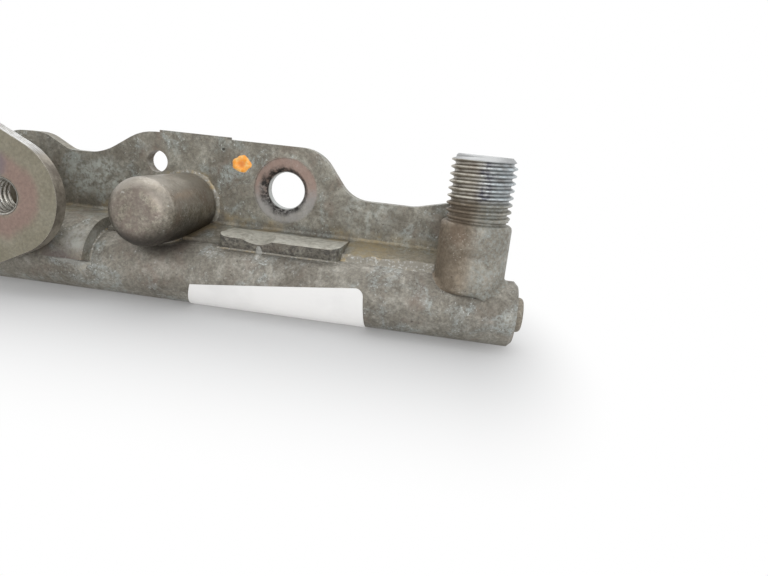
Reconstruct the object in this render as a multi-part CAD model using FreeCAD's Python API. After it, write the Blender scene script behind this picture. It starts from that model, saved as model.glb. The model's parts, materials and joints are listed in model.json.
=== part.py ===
"""Direct-injection fuel rail: a thick-walled steel tube on a stamped bracket, with three
injector cups, a threaded inlet fitting at one end and a threaded support tab.

Frame, millimetres: the origin is the middle bolt hole on the bracket's rear mounting face.
+X runs along the rail to the inlet end, +Y points into the engine, +Z points up along the
inlet fitting.
"""
import FreeCAD, Part
import math
import os
from FreeCAD import Vector

# Stations: each has a bolt hole, an injector cup and a locating hole.
STATION_COUNT = 3
STATION_PITCH = 98.0
CUP_FROM_BOLT = -24.2
LOCATOR_FROM_BOLT = -32.2
LOCATOR_Z = 3.5

# Rail tube, parallel to X.
TUBE_OD = 14.4
TUBE_WALL = 2.5
TUBE_Y = -13.0
TUBE_Z = -20.0
TUBE_END_EDGE = 0.9
TUBE_PAST_INLET = 10.8
TUBE_PAST_LAST_CUP = 30.0

# End plugs.
PLUG_DEPTH = 8.0
PLUG_HEAD_R = 3.8
PLUG_HEAD_OUT = 1.7
PLUG_HEAD_EDGE = 0.5

# Inlet fitting, parallel to Z, seated astride the tube.
INLET_FROM_BOLT = 45.2
INLET_TOP_Z = 13.06
THREAD_R = 6.93
THREAD_LENGTH = 12.8
THREAD_CHAMFER = 1.25
INLET_NECK_R = 6.1
INLET_NECK_LENGTH = 1.1
COLLAR_R = 7.6
COLLAR_EDGE = 0.8
COLLAR_FOOT_DROP = 2.7
COLLAR_FOOT_EDGE = 0.8
INLET_SEAT_R = 5.0
INLET_SEAT_HALF_ANGLE = 30.0
INLET_PASSAGE_R = 2.0

# Injector cups, parallel to Y, with a closed front end.
CUP_R = 7.4
CUP_SADDLE_DEPTH = 0.4
CUP_FRONT = 27.4
CUP_FRONT_EDGE_R = 4.0
CUP_SHOULDER_R = 9.0
CUP_REAR = 14.0
CUP_REAR_EDGE = 0.6
CUP_BORE_R = 5.4
CUP_BORE_DEPTH = 20.0
CUP_MOUTH_R = 6.6
CUP_MOUTH_DEPTH = 2.6
CUP_FEED_R = 3.2
CUP_FEED_PAST_TUBE = 5.0
CUP_CROSS_R = 1.25

# Stamped bracket: an upright plate with a flange bent forward on to the tube.
SHEET = 3.0
BEND_INSIDE_R = 0.8
BOLT_HOLE_R = 4.35
BOLT_CHAMFER = 1.0
SPOT_FACE_R = 7.7
SPOT_FACE_DEPTH = 0.2
LOCATOR_R = 2.6
CUP_LOBE_MARGIN = 1.5

# Plate's top outline: heights above the bolt holes, places along X from a bolt hole.
LOBE_TOP = 10.4
VALLEY_TOP = 3.9
HUMP_TOP = 7.35
SHOULDER_TOP = -0.4
RISE_TOP = 2.6
LOBE_RIGHT = 7.6
LOBE_RIGHT_R = 9.0
LOBE_RIGHT_SLOPE = 1.32
FLANK_FOOT_R = 8.0
LOBE_LEFT = -36.2
LOBE_LEFT_R = 12.0
LOBE_LEFT_SLOPE = 0.63
VALLEY_LEFT_R = 14.0
HUMP_CENTRE = -65.2
HUMP_HALF_WIDTH = 3.8
HUMP_SLOPE = 0.54
HUMP_TOP_R = 8.0
HUMP_FOOT_R = 5.0
RISE_START = 31.0
RISE_END = 43.5
RISE_R = 9.0
PLATE_PAST_INLET = 5.8
PLATE_END_R = 3.0
PLATE_PAST_LEFT_FLANK = 6.0
CUTOFF_LEFT = -31.7
CUTOFF_RIGHT = -14.9
CUTOFF_STEP = 0.5

# Flange zones along X from a bolt hole, and how far each wraps the tube from its top.
# Between them the flange thins towards a low plain edge on the tube's top.
BAND_RIGHT = -38.9
PAD_LEFT = -11.3
PAD_RIGHT = 16.7
PAD_WRAP = 18.0
PAD_CORNER_R = 3.0
BAND_WIDTH = 30.2
BAND_WRAP = 80.0
PLAIN_EDGE = 0.8

# Dip that the die leaves in each pad's front edge.
DIP_FROM_BOLT = -2.0
DIP_R = 6.5
DIP_DEPTH = 0.9
DIP_RISE = 0.16

# Support tab: a leaf with a threaded hole in front of the tube, bent back to the plate.
TAB_FROM_CUP = -29.8
TAB_HOLE_RISE = 7.2
TAB_BAND_GAP = 0.8
TAB_SHEET = 3.0
TAB_NOSE_R = 12.6
TAB_SPREAD = 26.0
TAB_ROOT = 8.0
TAB_ROOT_R = 4.0
TAB_BEND_R = 1.5
TAB_LEG_TOP = 3.4
TAB_FOOT_LENGTH = 10.0
TAB_FOOT_R = 2.5
TAB_THREAD_R = 3.4
TAB_THREAD_LEAD = 0.6
NUT_R = 6.0
NUT_LENGTH = 4.6
NUT_EDGE = 0.5

# Bare paper label on the tube's front and underside.
LABEL_THICKNESS = 0.15
LABEL_LEFT = -17.2
LABEL_RIGHT = 24.1
LABEL_LEFT_TOP = -1.1
LABEL_RIGHT_TOP = 3.0
LABEL_LEFT_LEAN = 1.9
LABEL_BACK = 4.6
LABEL_CORNER_R = 1.8

# Derived places.
TUBE_R = TUBE_OD / 2
BORE_R = TUBE_R - TUBE_WALL
TUBE_TOP = TUBE_Z + TUBE_R
FLANGE_TOP = TUBE_TOP + SHEET
BEND_OUTSIDE_R = BEND_INSIDE_R + SHEET
PLATE_BASE = TUBE_TOP + BEND_OUTSIDE_R
BAND_R = TUBE_R + SHEET
HALF_SPAN = STATION_PITCH * (STATION_COUNT - 1) / 2
BOLT_X = [index * STATION_PITCH - HALF_SPAN for index in range(STATION_COUNT)]
CUP_X = [x + CUP_FROM_BOLT for x in BOLT_X]
CUP_Z = TUBE_TOP + CUP_R - CUP_SADDLE_DEPTH
INLET_X = BOLT_X[-1] + INLET_FROM_BOLT
TUBE_RIGHT = INLET_X + TUBE_PAST_INLET
TUBE_LEFT = CUP_X[0] - TUBE_PAST_LAST_CUP
LEFT_FLANK_RUN = (LOBE_TOP - VALLEY_TOP) / LOBE_LEFT_SLOPE
PLATE_LEFT = BOLT_X[0] + LOBE_LEFT - LEFT_FLANK_RUN - PLATE_PAST_LEFT_FLANK
PLATE_RIGHT = INLET_X + PLATE_PAST_INLET
TAB_X = CUP_X[-1] + TAB_FROM_CUP
TAB_HOLE_Z = TUBE_TOP + TAB_HOLE_RISE
TAB_BACK = TUBE_Y - BAND_R - TAB_BAND_GAP
TAB_FRONT = TAB_BACK - TAB_SHEET
COLLAR_FOOT_Z = TUBE_TOP - COLLAR_FOOT_DROP

X_AXIS = Vector(1, 0, 0)
Y_AXIS = Vector(0, 1, 0)
Z_AXIS = Vector(0, 0, 1)
OVERRUN = 1.0


def rod(radius, start, axis, length):
    """Cylinder from a start point along an axis."""
    return Part.makeCylinder(radius, length, start, axis)


def rounded_wire(corners):
    """Closed wire through (point, radius) corners, each rounded by a tangent arc."""
    edges = []
    ends = []
    count = len(corners)
    for index, (point, radius) in enumerate(corners):
        before = corners[index - 1][0] - point
        after = corners[(index + 1) % count][0] - point
        before.normalize()
        after.normalize()
        if radius == 0:
            ends.append((point, point))
            continue
        half = before.getAngle(after) / 2
        reach = radius / math.tan(half)
        bisector = before + after
        bisector.normalize()
        centre = point + bisector * (radius / math.sin(half))
        start = point + before * reach
        finish = point + after * reach
        middle = centre - bisector * radius
        edges.append(Part.Arc(start, middle, finish).toShape())
        ends.append((start, finish))
    for index in range(count):
        start = ends[index - 1][1]
        finish = ends[index][0]
        if start.distanceToPoint(finish) > 1e-6:
            edges.append(Part.LineSegment(start, finish).toShape())
    return Part.Wire(Part.__sortEdges__(edges))


def plate_slab(corners, front, back):
    """Slab between two depths from an outline of (x, z, radius) corners."""
    points = [(Vector(x, front, z), radius) for x, z, radius in corners]
    return Part.Face(rounded_wire(points)).extrude(Y_AXIS * (back - front))


def revolved(profile, base, axis, across):
    """Solid of revolution from (distance along axis, radius) pairs, closed on the axis."""
    first, last = profile[0][0], profile[-1][0]
    pairs = [(first, 0.0)] + list(profile) + [(last, 0.0)]
    points = [base + axis * along + across * radius for along, radius in pairs]
    distinct = [points[0]]
    for point in points[1:]:
        if point.distanceToPoint(distinct[-1]) > 1e-6:
            distinct.append(point)
    face = Part.Face(Part.makePolygon(distinct + [distinct[0]]))
    return face.revolve(base, axis, 360)


def circle_edges(solid, radius, centre):
    """Edges of a solid that lie on a circle of this radius about this centre."""
    found = []
    for edge in solid.Edges:
        curve = edge.Curve
        if not isinstance(curve, Part.Circle):
            continue
        if abs(curve.Radius - radius) < 1e-4 and curve.Center.distanceToPoint(centre) < 1e-4:
            found.append(edge)
    return found


def rail_tube():
    """Thick-walled tube with a cross hole for each cup and one for the inlet."""
    start = Vector(TUBE_LEFT, TUBE_Y, TUBE_Z)
    end = Vector(TUBE_RIGHT, TUBE_Y, TUBE_Z)
    length = TUBE_RIGHT - TUBE_LEFT
    body = rod(TUBE_R, start, X_AXIS, length)
    rims = circle_edges(body, TUBE_R, start) + circle_edges(body, TUBE_R, end)
    body = body.makeChamfer(TUBE_END_EDGE, rims)
    body = body.cut(rod(BORE_R, start - X_AXIS * OVERRUN, X_AXIS, length + 2 * OVERRUN))
    for x in CUP_X:
        body = body.cut(rod(CUP_CROSS_R, Vector(x, TUBE_Y, TUBE_Z), Z_AXIS, TUBE_OD))
    return body.cut(rod(INLET_PASSAGE_R, Vector(INLET_X, TUBE_Y, TUBE_Z), Z_AXIS, TUBE_OD))


def end_plug(x, outward):
    """Plug brazed into the tube's bore, with a smaller head standing out of the end."""
    profile = [
        (-PLUG_DEPTH, BORE_R),
        (0.0, BORE_R),
        (0.0, PLUG_HEAD_R),
        (PLUG_HEAD_OUT - PLUG_HEAD_EDGE, PLUG_HEAD_R),
        (PLUG_HEAD_OUT, PLUG_HEAD_R - PLUG_HEAD_EDGE),
    ]
    return revolved(profile, Vector(x, TUBE_Y, TUBE_Z), X_AXIS * outward, Z_AXIS)


def inlet_fitting():
    """Male-thread inlet with a conical seat, its collar saddled astride the tube."""
    shank_top = INLET_TOP_Z - THREAD_CHAMFER
    shank_foot = shank_top - THREAD_LENGTH + THREAD_CHAMFER
    collar_top = shank_foot - INLET_NECK_LENGTH
    profile = [
        (COLLAR_FOOT_Z, COLLAR_R - COLLAR_FOOT_EDGE),
        (COLLAR_FOOT_Z + COLLAR_FOOT_EDGE, COLLAR_R),
        (collar_top - COLLAR_EDGE, COLLAR_R),
        (collar_top, COLLAR_R - COLLAR_EDGE),
        (collar_top, INLET_NECK_R),
        (shank_foot, INLET_NECK_R),
        (shank_foot, THREAD_R),
        (shank_top, THREAD_R),
        (INLET_TOP_Z, THREAD_R - THREAD_CHAMFER),
    ]
    base = Vector(INLET_X, TUBE_Y, 0)
    body = revolved(profile, base, Z_AXIS, X_AXIS)
    tube_start = Vector(INLET_X - 2 * COLLAR_R, TUBE_Y, TUBE_Z)
    body = body.cut(rod(TUBE_R, tube_start, X_AXIS, 4 * COLLAR_R))
    seat_depth = (INLET_SEAT_R - INLET_PASSAGE_R) / math.tan(math.radians(INLET_SEAT_HALF_ANGLE))
    seat_start = base + Z_AXIS * (INLET_TOP_Z - seat_depth)
    seat = Part.makeCone(INLET_PASSAGE_R, INLET_SEAT_R, seat_depth, seat_start, Z_AXIS)
    passage = rod(INLET_PASSAGE_R, base + Z_AXIS * TUBE_Z, Z_AXIS, INLET_TOP_Z - TUBE_Z)
    return body.cut(passage).cut(seat)


def injector_cup(x):
    """Cup through the plate: closed front over the tube, shoulder and open mouth behind."""
    base = Vector(x, 0, CUP_Z)
    front = rod(CUP_R, base - Y_AXIS * CUP_FRONT, Y_AXIS, CUP_FRONT)
    front = front.makeFillet(CUP_FRONT_EDGE_R, circle_edges(front, CUP_R, base - Y_AXIS * CUP_FRONT))
    rear = rod(CUP_SHOULDER_R, base, Y_AXIS, CUP_REAR)
    rear = rear.makeChamfer(CUP_REAR_EDGE, circle_edges(rear, CUP_SHOULDER_R, base + Y_AXIS * CUP_REAR))
    body = front.fuse(rear)
    tube_start = Vector(x - 2 * CUP_R, TUBE_Y, TUBE_Z)
    body = body.cut(rod(TUBE_R, tube_start, X_AXIS, 4 * CUP_R))
    bore_end = CUP_REAR - CUP_BORE_DEPTH
    feed_end = TUBE_Y - CUP_FEED_PAST_TUBE
    profile = [
        (feed_end - CUP_FEED_R, 0.0),
        (feed_end, CUP_FEED_R),
        (bore_end - (CUP_BORE_R - CUP_FEED_R), CUP_FEED_R),
        (bore_end, CUP_BORE_R),
        (CUP_REAR - CUP_MOUTH_DEPTH, CUP_BORE_R),
        (CUP_REAR, CUP_MOUTH_R),
        (CUP_REAR + OVERRUN, CUP_MOUTH_R),
    ]
    body = body.cut(revolved(profile, base, Y_AXIS, Z_AXIS))
    return body.cut(rod(CUP_CROSS_R, Vector(x, TUBE_Y, TUBE_Z), Z_AXIS, CUP_Z - TUBE_Z))


def plate_outline():
    """Corners of the upright plate: a lobe at each station, a hump between stations."""
    corners = [(PLATE_LEFT, PLATE_BASE, 0), (PLATE_LEFT, VALLEY_TOP, PLATE_END_R)]
    hump_run = (HUMP_TOP - VALLEY_TOP) / HUMP_SLOPE
    for index, bolt in enumerate(BOLT_X):
        if index > 0:
            left = bolt + HUMP_CENTRE - HUMP_HALF_WIDTH
            right = bolt + HUMP_CENTRE + HUMP_HALF_WIDTH
            corners += [
                (left - hump_run, VALLEY_TOP, HUMP_FOOT_R),
                (left, HUMP_TOP, HUMP_TOP_R),
                (right, HUMP_TOP, HUMP_TOP_R),
                (right + hump_run, VALLEY_TOP, HUMP_FOOT_R),
            ]
        foot_level = SHOULDER_TOP if index == STATION_COUNT - 1 else VALLEY_TOP
        corners += [
            (bolt + LOBE_LEFT - LEFT_FLANK_RUN, VALLEY_TOP, VALLEY_LEFT_R),
            (bolt + LOBE_LEFT, LOBE_TOP, LOBE_LEFT_R),
            (bolt + LOBE_RIGHT, LOBE_TOP, LOBE_RIGHT_R),
            (bolt + LOBE_RIGHT + (LOBE_TOP - foot_level) / LOBE_RIGHT_SLOPE, foot_level, FLANK_FOOT_R),
        ]
    last = BOLT_X[-1]
    corners += [
        (last + RISE_START, SHOULDER_TOP, RISE_R),
        (last + RISE_END, RISE_TOP, RISE_R),
        (PLATE_RIGHT, RISE_TOP, PLATE_END_R),
        (PLATE_RIGHT, PLATE_BASE, PLATE_END_R),
    ]
    return corners


def flange(left, right, wrap):
    """Bend and flange over a stretch of X, wrapping the tube by an angle from its top."""
    def at(y, z):
        return Vector(left, y, z)

    def on_tube(radius, degrees):
        angle = math.radians(degrees)
        return at(TUBE_Y - radius * math.sin(angle), TUBE_Z + radius * math.cos(angle))

    diagonal = math.sqrt(0.5)
    bend = at(-BEND_OUTSIDE_R, PLATE_BASE)
    outside_mid = bend + Vector(0, diagonal, -diagonal) * BEND_OUTSIDE_R
    inside_mid = bend + Vector(0, diagonal, -diagonal) * BEND_INSIDE_R
    back_foot = at(-BEND_OUTSIDE_R, TUBE_TOP)
    front_foot = at(-BEND_OUTSIDE_R, FLANGE_TOP)
    front_top = on_tube(BAND_R, 0) if wrap > 0 else at(TUBE_Y, TUBE_TOP + PLAIN_EDGE)
    edges = [
        Part.LineSegment(at(-SHEET, PLATE_BASE), at(0, PLATE_BASE)).toShape(),
        Part.Arc(at(0, PLATE_BASE), outside_mid, back_foot).toShape(),
        Part.LineSegment(back_foot, on_tube(TUBE_R, 0)).toShape(),
        Part.LineSegment(front_top, front_foot).toShape(),
        Part.Arc(front_foot, inside_mid, at(-SHEET, PLATE_BASE)).toShape(),
    ]
    if wrap > 0:
        inner = [on_tube(TUBE_R, wrap * share) for share in (0, 0.5, 1)]
        outer = [on_tube(BAND_R, wrap * share) for share in (0, 0.5, 1)]
        edges.append(Part.Arc(*inner).toShape())
        edges.append(Part.Arc(*outer).toShape())
        edges.append(Part.LineSegment(inner[-1], outer[-1]).toShape())
    else:
        edges.append(Part.LineSegment(on_tube(TUBE_R, 0), front_top).toShape())
    section = Part.Face(Part.Wire(Part.__sortEdges__(edges)))
    return section.extrude(X_AXIS * (right - left))


def pad_corner_cutter(x, side):
    """Sliver that rounds one front corner of a pad, seen from above."""
    tip = TUBE_Y - BAND_R * math.sin(math.radians(PAD_WRAP))
    z = TUBE_TOP - SHEET
    square = Part.makeBox(PAD_CORNER_R, PAD_CORNER_R, 3 * SHEET)
    square.translate(Vector(min(x, x - side * PAD_CORNER_R), tip, z))
    centre = Vector(x - side * PAD_CORNER_R, tip + PAD_CORNER_R, z - OVERRUN)
    return square.cut(rod(PAD_CORNER_R, centre, Z_AXIS, 3 * SHEET + 2 * OVERRUN))


def pad_dip(bolt):
    """Cutter for the dip in a pad's front edge, running out towards the plate."""
    wrap = math.radians(PAD_WRAP)
    tip = Vector(bolt + DIP_FROM_BOLT, TUBE_Y - BAND_R * math.sin(wrap), TUBE_Z + BAND_R * math.cos(wrap))
    along = Vector(0, 1, DIP_RISE)
    start = tip + Z_AXIS * (DIP_R - DIP_DEPTH) - along * SHEET
    return rod(DIP_R, start, along, 4 * SHEET)


def mounting_bracket():
    """Stamped bracket: lobed plate, bent flange, pads and bands that wrap the tube."""
    pieces = [plate_slab(plate_outline(), -SHEET, 0.0)]
    for cup in CUP_X:
        lobe = rod(CUP_SHOULDER_R + CUP_LOBE_MARGIN, Vector(cup, -SHEET, CUP_Z), Y_AXIS, SHEET)
        pieces.append(lobe)
    reach = PLATE_LEFT
    for index, bolt in enumerate(BOLT_X):
        band_left = bolt + BAND_RIGHT - BAND_WIDTH if index > 0 else PLATE_LEFT
        if band_left > reach:
            pieces.append(flange(reach, band_left, 0))
        pieces.append(flange(band_left, bolt + BAND_RIGHT, BAND_WRAP if index > 0 else 0))
        pieces.append(flange(bolt + BAND_RIGHT, bolt + PAD_LEFT, 0))
        pieces.append(flange(bolt + PAD_LEFT, bolt + PAD_RIGHT, PAD_WRAP))
        reach = bolt + PAD_RIGHT
    pieces.append(flange(reach, INLET_X, 0))
    for bolt in BOLT_X:
        stub = [
            (bolt + CUTOFF_LEFT, LOBE_TOP - CUTOFF_STEP, 0),
            (bolt + CUTOFF_LEFT, LOBE_TOP + CUTOFF_STEP, 0),
            (bolt + CUTOFF_RIGHT, LOBE_TOP + CUTOFF_STEP, 0),
            (bolt + CUTOFF_RIGHT, LOBE_TOP - CUTOFF_STEP, 0),
        ]
        pieces.append(plate_slab(stub, -SHEET, 0.0))
    body = pieces[0].multiFuse(pieces[1:]).removeSplitter()
    for bolt in BOLT_X:
        for x, side in ((bolt + PAD_LEFT, -1), (bolt + PAD_RIGHT, 1)):
            body = body.cut(pad_corner_cutter(x, side))
        body = body.cut(pad_dip(bolt))
        body = body.cut(bolt_hole(bolt))
        locator = Vector(bolt + LOCATOR_FROM_BOLT, -2 * SHEET, LOCATOR_Z)
        body = body.cut(rod(LOCATOR_R, locator, Y_AXIS, 3 * SHEET))
    for cup in CUP_X:
        body = body.cut(rod(CUP_R, Vector(cup, TUBE_Y - OVERRUN, CUP_Z), Y_AXIS, 2 * OVERRUN - TUBE_Y))
    collar_foot = Vector(INLET_X, TUBE_Y, TUBE_TOP - SHEET)
    return body.cut(rod(COLLAR_R, collar_foot, Z_AXIS, 3 * SHEET))


def bolt_hole(x):
    """Cutter for a bolt hole with its front chamfer and coined bolt-head seat."""
    seat = SPOT_FACE_DEPTH - SHEET
    profile = [
        (-SHEET - OVERRUN, SPOT_FACE_R),
        (seat, SPOT_FACE_R),
        (seat, BOLT_HOLE_R + BOLT_CHAMFER),
        (seat + BOLT_CHAMFER, BOLT_HOLE_R),
        (OVERRUN, BOLT_HOLE_R),
    ]
    return revolved(profile, Vector(x, 0, 0), Y_AXIS, Z_AXIS)


def support_tab():
    """Leaf with a rounded nose, bent back over the tube to a foot on the plate."""
    spread = math.radians(TAB_SPREAD)
    root_x = TAB_X - TAB_ROOT
    root_half = TAB_NOSE_R / math.cos(spread) + TAB_ROOT * math.tan(spread)
    apex_x = TAB_X + TAB_NOSE_R / math.sin(spread)
    leaf_front = TAB_FRONT
    leaf_back = TAB_BACK
    leaf = plate_slab([
        (root_x, TAB_HOLE_Z + root_half, TAB_ROOT_R),
        (apex_x, TAB_HOLE_Z, TAB_NOSE_R),
        (root_x, TAB_HOLE_Z - root_half, TAB_ROOT_R),
    ], leaf_front, leaf_back)
    leg_foot = FLANGE_TOP + BEND_INSIDE_R
    leg_height = TAB_LEG_TOP - leg_foot
    bend_out = TAB_BEND_R + TAB_SHEET
    outer_x = root_x - bend_out
    inner_x = root_x - TAB_BEND_R
    strip = [
        (root_x, leaf_front, 0),
        (outer_x, leaf_front, bend_out),
        (outer_x, -SHEET - TAB_SHEET, TAB_BEND_R),
        (outer_x - TAB_FOOT_LENGTH, -SHEET - TAB_SHEET, 0),
        (outer_x - TAB_FOOT_LENGTH, -SHEET, 0),
        (inner_x, -SHEET, bend_out),
        (inner_x, leaf_back, TAB_BEND_R),
        (root_x, leaf_back, 0),
    ]
    wire = rounded_wire([(Vector(x, y, leg_foot), radius) for x, y, radius in strip])
    leg = Part.Face(wire).extrude(Z_AXIS * leg_height)
    body = leaf.fuse(leg).removeSplitter()
    foot_x = outer_x - TAB_FOOT_LENGTH
    corners = []
    for edge in body.Edges:
        upright = abs(edge.BoundBox.YLength - TAB_SHEET) < 1e-6
        if upright and abs(edge.BoundBox.XMin - foot_x) < 1e-6 and edge.BoundBox.ZLength < 1e-6:
            corners.append(edge)
    body = body.makeFillet(TAB_FOOT_R, corners)
    hole = Vector(TAB_X, leaf_front - OVERRUN, TAB_HOLE_Z)
    body = body.cut(rod(TAB_THREAD_R, hole, Y_AXIS, TAB_SHEET + 2 * OVERRUN))
    lead_start = Vector(TAB_X, leaf_front, TAB_HOLE_Z)
    lead = Part.makeCone(TAB_THREAD_R + TAB_THREAD_LEAD, TAB_THREAD_R, TAB_THREAD_LEAD, lead_start, Y_AXIS)
    return body.cut(lead)


def support_tab_nut():
    """Round weld nut behind the leaf, carrying the rest of the thread."""
    start = TAB_BACK
    profile = [
        (start, NUT_R),
        (start + NUT_LENGTH - NUT_EDGE, NUT_R),
        (start + NUT_LENGTH, NUT_R - NUT_EDGE),
    ]
    base = Vector(TAB_X, 0, TAB_HOLE_Z)
    body = revolved(profile, base, Y_AXIS, Z_AXIS)
    hole = base + Y_AXIS * (start - OVERRUN)
    return body.cut(rod(TAB_THREAD_R, hole, Y_AXIS, NUT_LENGTH + 2 * OVERRUN))


def part_label():
    """Thin sticker wrapped on the tube, cut from a ring by the label's outline."""
    last = BOLT_X[-1]
    left = last + LABEL_LEFT
    right = last + LABEL_RIGHT
    start = Vector(left - OVERRUN, TUBE_Y, TUBE_Z)
    length = right - left + 2 * OVERRUN
    ring = rod(TUBE_R + LABEL_THICKNESS, start, X_AXIS, length)
    ring = ring.cut(rod(TUBE_R, start, X_AXIS, length))
    below = TUBE_Z - TUBE_R - OVERRUN
    outline = [
        (left, below, 0),
        (left + LABEL_LEFT_LEAN, TUBE_Z + LABEL_LEFT_TOP, 0),
        (right - LABEL_CORNER_R / 2, TUBE_Z + LABEL_RIGHT_TOP, LABEL_CORNER_R),
        (right, below, 0),
    ]
    return ring.common(plate_slab(outline, TUBE_Y - TUBE_R - OVERRUN, TUBE_Y + LABEL_BACK))


def main():
    nodes = {
        "rail_tube": rail_tube(),
        "mounting_bracket": mounting_bracket(),
        "inlet_fitting": inlet_fitting(),
        "inlet_end_plug": end_plug(TUBE_RIGHT, 1),
        "far_end_plug": end_plug(TUBE_LEFT, -1),
        "support_tab": support_tab(),
        "support_tab_nut": support_tab_nut(),
        "part_label": part_label(),
    }
    for index, x in enumerate(CUP_X):
        nodes["injector_cup_%d" % (index + 1)] = injector_cup(x)
    os.makedirs("parts", exist_ok=True)
    for name, shape in nodes.items():
        shape.exportStep("parts/%s.step" % name)


main()
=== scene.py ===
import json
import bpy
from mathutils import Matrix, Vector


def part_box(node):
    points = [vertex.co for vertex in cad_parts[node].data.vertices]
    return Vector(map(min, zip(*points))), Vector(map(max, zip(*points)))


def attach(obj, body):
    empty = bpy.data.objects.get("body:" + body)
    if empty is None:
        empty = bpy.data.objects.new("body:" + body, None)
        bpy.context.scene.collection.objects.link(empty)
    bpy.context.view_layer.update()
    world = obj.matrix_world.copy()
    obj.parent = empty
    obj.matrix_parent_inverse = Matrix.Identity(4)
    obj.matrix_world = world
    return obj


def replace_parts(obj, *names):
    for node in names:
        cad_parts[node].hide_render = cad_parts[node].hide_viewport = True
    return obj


bl_info = {
    "name": "Fuel Rail Dresser",
    "version": (1, 0, 0),
    "blender": (4, 5, 0),
    "location": "View3D > Sidebar > Fuel Rail",
    "description": "Dresses a brazed steel fuel rail: threads, braze fillets, worn steel, label and studio",
    "category": "Object",
}

from math import cos, exp, pi, radians, sin, sqrt

import bmesh
import bpy
from bpy.props import FloatProperty, FloatVectorProperty, PointerProperty
from mathutils import Matrix, Vector, noise

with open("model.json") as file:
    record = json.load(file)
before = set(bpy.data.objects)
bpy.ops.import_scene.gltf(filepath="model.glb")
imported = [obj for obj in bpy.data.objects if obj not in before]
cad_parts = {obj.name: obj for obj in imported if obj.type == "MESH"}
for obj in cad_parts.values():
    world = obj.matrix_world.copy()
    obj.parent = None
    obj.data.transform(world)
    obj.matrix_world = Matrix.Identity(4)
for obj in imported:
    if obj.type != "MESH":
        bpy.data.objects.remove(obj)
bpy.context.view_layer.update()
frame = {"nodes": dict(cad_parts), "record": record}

MM = 0.001
MOUNTS = {mount["name"]: mount for mount in frame["record"]["mounts"]}

# Places of the carried model, read from its mounts and its nodes' boxes.
TUBE_LOW, TUBE_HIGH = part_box("rail_tube")
TUBE_R = (TUBE_HIGH.z - TUBE_LOW.z) / 2
TUBE_Y = (TUBE_HIGH.y + TUBE_LOW.y) / 2
TUBE_Z = (TUBE_HIGH.z + TUBE_LOW.z) / 2
PITCH = MOUNTS["bracket_bolts"]["dims"]["spacing_x_mm"] * MM / 2
BOLT_X = (-PITCH, 0.0, PITCH)
BOLT_R = MOUNTS["bracket_bolts"]["dims"]["hole_r_mm"] * MM
CUP_X = tuple(MOUNTS["injector_%d" % index]["pos_m"][0] for index in (1, 2, 3))
CUP_Z = MOUNTS["injector_1"]["pos_m"][2]
THREAD = MOUNTS["inlet_thread"]
THREAD_R = THREAD["dims"]["r_mm"] * MM
THREAD_FOOT = THREAD["pos_m"][2] - THREAD["dims"]["length_mm"] * MM / 2
INLET_X = THREAD["pos_m"][0]
INLET_LOW, INLET_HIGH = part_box("inlet_fitting")
COLLAR_R = (INLET_HIGH.x - INLET_LOW.x) / 2
TAB_HOLE = Vector(MOUNTS["support_thread"]["pos_m"])
SUPPORT_R = MOUNTS["support_thread"]["dims"]["r_mm"] * MM
TAB_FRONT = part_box("support_tab")[0].y
NUT_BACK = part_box("support_tab_nut")[1].y

# The bracket's sheet, and its flange zones along X from a bolt hole.
SHEET = 3.0 * MM
PLATE_FRONT = -SHEET
BAND_R = TUBE_R + SHEET
PAD_LEFT = -11.3 * MM
PAD_RIGHT = 16.7 * MM
PAD_WRAP = radians(18.0)
BAND_RIGHT = -38.9 * MM
BAND_WIDTH = 30.2 * MM
BAND_WRAP = radians(80.0)

# Radius of a cup, and places of the small marks on the plate.
CUP_R = 7.4 * MM
PAINT_X = 87.0 * MM
PAINT_Z = 5.1 * MM
POCK_X = -15.7 * MM
POCK_Z = 8.1 * MM

# Other sizes and counts that no property holds.
SHEAR_LINE = 0.75 * MM
SADDLE_R = 3.6 * MM
FLOOR_R = 4.0
ROWS_A_TURN = 14
FLOW_STEPS = 19


class FUELRAIL_PG_steel(bpy.types.PropertyGroup):
    """Colours and finish of the worn steel."""

    base: FloatVectorProperty(
        name="Base", description="Middle tone of the dull steel",
        subtype="COLOR", default=(0.25, 0.233, 0.196), min=0.0, max=1.0)
    shade: FloatVectorProperty(
        name="Shade", description="Dark tone of the dull steel",
        subtype="COLOR", default=(0.185, 0.168, 0.139), min=0.0, max=1.0)
    light: FloatVectorProperty(
        name="Light", description="Pale tone of the dull steel",
        subtype="COLOR", default=(0.345, 0.33, 0.287), min=0.0, max=1.0)
    oxide: FloatVectorProperty(
        name="Oxide", description="Blue-grey bloom in patches",
        subtype="COLOR", default=(0.36, 0.395, 0.385), min=0.0, max=1.0)
    rust: FloatVectorProperty(
        name="Rust", description="Brown stain in patches",
        subtype="COLOR", default=(0.235, 0.175, 0.14), min=0.0, max=1.0)
    speck: FloatVectorProperty(
        name="Speck", description="Small pale specks of corrosion",
        subtype="COLOR", default=(0.68, 0.7, 0.68), min=0.0, max=1.0)
    braze: FloatVectorProperty(
        name="Braze", description="Gold tint beside the brazed joints",
        subtype="COLOR", default=(0.4, 0.31, 0.17), min=0.0, max=1.0)
    bright: FloatVectorProperty(
        name="Bright", description="Bare bright steel of the worn thread",
        subtype="COLOR", default=(0.68, 0.72, 0.74), min=0.0, max=1.0)
    grain: FloatProperty(
        name="Grain", description="Depth of the surface's grain",
        default=0.35, min=0.0, max=1.0, subtype="FACTOR")


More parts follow.
